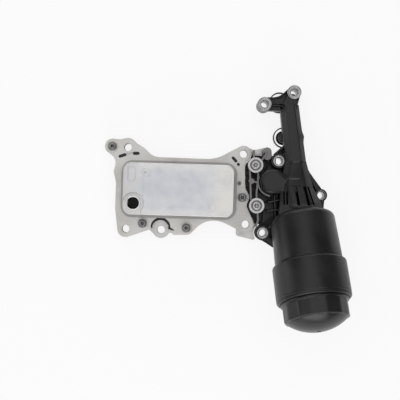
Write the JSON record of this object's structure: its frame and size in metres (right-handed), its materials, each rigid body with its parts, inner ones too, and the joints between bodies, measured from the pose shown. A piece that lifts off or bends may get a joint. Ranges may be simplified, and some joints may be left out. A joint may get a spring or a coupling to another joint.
{
  "type": "engine oil cooler and filter module",
  "caption": "Engine oil cooler: brazed plate stack on a lobed aluminium carrier, with a moulded oil filter housing, neck, arm and screw cap that unscrews with its element.",
  "frame": {"origin": "midway between the two left-hand bolt holes, on the face that seats on the engine", "axes": "+Z points away from the engine, +X runs along the cooler's long side towards the filter housing, +Y runs towards the two-eared arm"},
  "size_m": [0.292, 0.2866, 0.1139],
  "materials": {
    "cast_aluminium": "sand cast",
    "milled_aluminium": "fine cast",
    "brazed_aluminium": "brazed",
    "bright_aluminium": "rolled sheet",
    "grey_steel": "zinc plated",
    "spring_steel": "drawn wire",
    "black_polyamide": "glass-filled moulding",
    "dark_polyamide": "moulded",
    "black_rubber": "moulded rubber",
    "filter_medium": "pleated"
  },
  "bodies": {
    "module": {"carrier_casting": "cast_aluminium", "carrier_gasket": "black_rubber", "cooler_base_plate": "milled_aluminium", "cooler_foot": "brazed_aluminium", "cooler_stack": "brazed_aluminium", "cooler_cover": "bright_aluminium", "cooler_port_ring": "milled_aluminium", "cooler_screws": "grey_steel", "locating_dowel": "grey_steel", "joint_screws": "grey_steel", "filter_housing": "black_polyamide", "arm_sleeves": "grey_steel", "flange_sleeves": "grey_steel", "port_seals": "black_rubber", "standpipe": "dark_polyamide", "bypass_spring": "spring_steel", "spring_retainer": "grey_steel"},
    "filter_element": {"filter_paper": "filter_medium", "element_cage": "dark_polyamide", "element_lower_cap": "dark_polyamide", "element_upper_cap": "dark_polyamide"},
    "screw_cap": {"filter_cap": "black_polyamide", "cap_seal": "black_rubber"},
    "bypass_valve": {"bypass_plunger": "dark_polyamide"}
  },
  "joints": [
    {"name": "cap_lift", "type": "slide", "parent": "module", "child": "filter_element", "axis": [0.1308, -0.9305, 0.342], "range_m": [0, 0.012]},
    {"name": "cap_turn", "type": "hinge", "parent": "filter_element", "child": "screw_cap", "pos_m": [0.22345, -0.13553, 0.07552], "axis": [0.1308, -0.9305, 0.342], "range_deg": [0, 1080]},
    {"name": "bypass_opening", "type": "slide", "parent": "module", "child": "bypass_valve", "axis": [-0.1308, 0.9305, -0.342], "range_m": [0, 0.004], "stiffness_N_per_m": 1500, "springref_m": -0.008, "deforming": ["bypass_spring"]}
  ],
  "couplings": [
    {"joint": "cap_lift", "follows": "cap_turn", "m_per_rad": 0.0006366}
  ]
}
